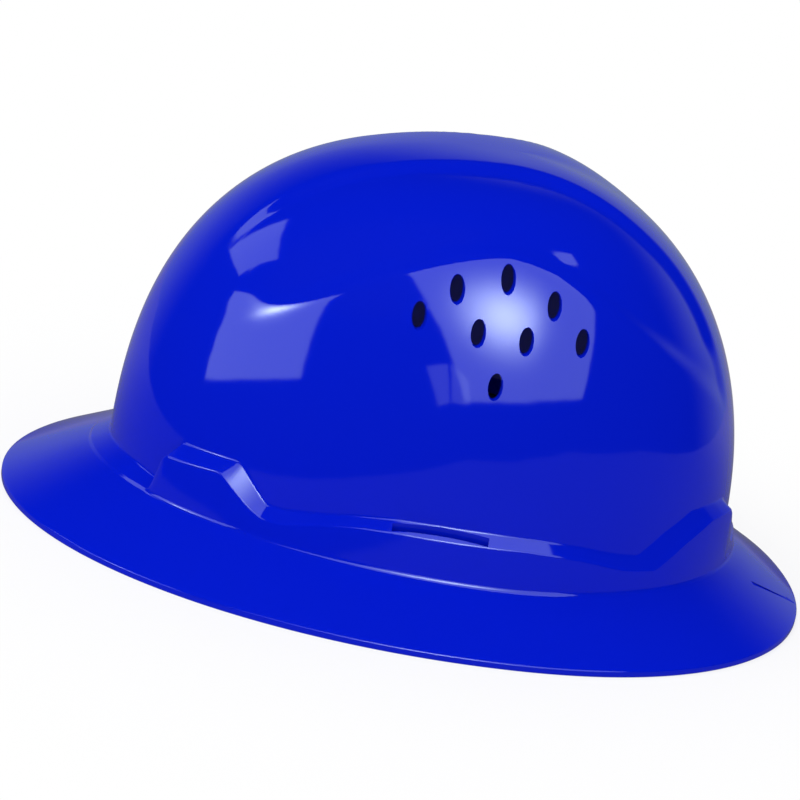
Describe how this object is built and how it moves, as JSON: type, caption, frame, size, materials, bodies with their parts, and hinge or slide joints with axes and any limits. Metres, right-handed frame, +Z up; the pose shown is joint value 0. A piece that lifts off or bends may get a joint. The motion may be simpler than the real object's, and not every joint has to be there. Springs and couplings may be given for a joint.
{
  "type": "full brim hard hat",
  "caption": "Vented full brim hard hat with a ridged glossy shell, webbing crown straps and a ratchet headband that tightens with a knob.",
  "frame": {"origin": "centre of the hat's bounding box in plan, on the plane that the rim rests on", "axes": "+Z up through the crown, -Y towards the brow, +X towards the wearer's left"},
  "size_m": [0.2772, 0.3214, 0.159],
  "materials": {
    "shell": "gloss",
    "key": "satin",
    "hanger": "satin",
    "stud": "satin",
    "webbing": "woven",
    "headband": "satin",
    "sweatband": "knit",
    "ratchet": "satin",
    "screw": "satin",
    "foam": "knit",
    "pinion": "satin",
    "knob": "satin"
  },
  "bodies": {
    "hat": {"shell": "shell", "suspension_key_front_left": "key", "suspension_key_front_right": "key", "suspension_key_rear_left": "key", "suspension_key_rear_right": "key", "hanger_front_left": "hanger", "hanger_front_right": "hanger", "hanger_rear_left": "hanger", "hanger_rear_right": "hanger", "hanger_studs": "stud", "crown_strap_left": "webbing", "crown_strap_right": "webbing", "crown_patch": "webbing", "headband": "headband", "sweatband": "sweatband"},
    "temple_pivots": {"temple_rivets": "stud"},
    "ratchet_unit": {"ratchet_base": "ratchet", "ratchet_cover": "ratchet", "housing_screws": "screw", "detent_ring": "screw", "nape_pad": "foam"},
    "left_arm": {"ratchet_arm_left": "headband"},
    "right_arm": {"ratchet_arm_right": "headband"},
    "knob": {"ratchet_knob": "knob", "pinion": "pinion", "knob_screw": "screw"}
  },
  "joints": [
    {"name": "nape_tilt", "type": "hinge", "parent": "hat", "child": "temple_pivots", "pos_m": [0, 0.006, 0.024], "axis": [1, 0, 0], "range_deg": [-3, 8]},
    {"name": "size_slide", "type": "slide", "parent": "temple_pivots", "child": "ratchet_unit", "axis": [0, -1, 0], "range_m": [-0.01, 0.014]},
    {"name": "left_arm_wrap", "type": "hinge", "parent": "ratchet_unit", "child": "left_arm", "pos_m": [0, 0.006, 0.024], "axis": [0, 0, 1], "range_deg": [-6.9, 9.7]},
    {"name": "right_arm_wrap", "type": "hinge", "parent": "ratchet_unit", "child": "right_arm", "pos_m": [0, 0.006, 0.024], "axis": [0, 0, 1], "range_deg": [-9.7, 6.9]},
    {"name": "knob_turn", "type": "hinge", "parent": "ratchet_unit", "child": "knob", "pos_m": [0, 0.006, 0.024], "axis": [0, 1, 0], "range_deg": [-115, 161]}
  ],
  "couplings": [
    {"joint": "left_arm_wrap", "follows": "size_slide", "rad_per_m": 11.962},
    {"joint": "right_arm_wrap", "follows": "size_slide", "rad_per_m": -11.962},
    {"joint": "knob_turn", "follows": "size_slide", "rad_per_m": 200}
  ]
}
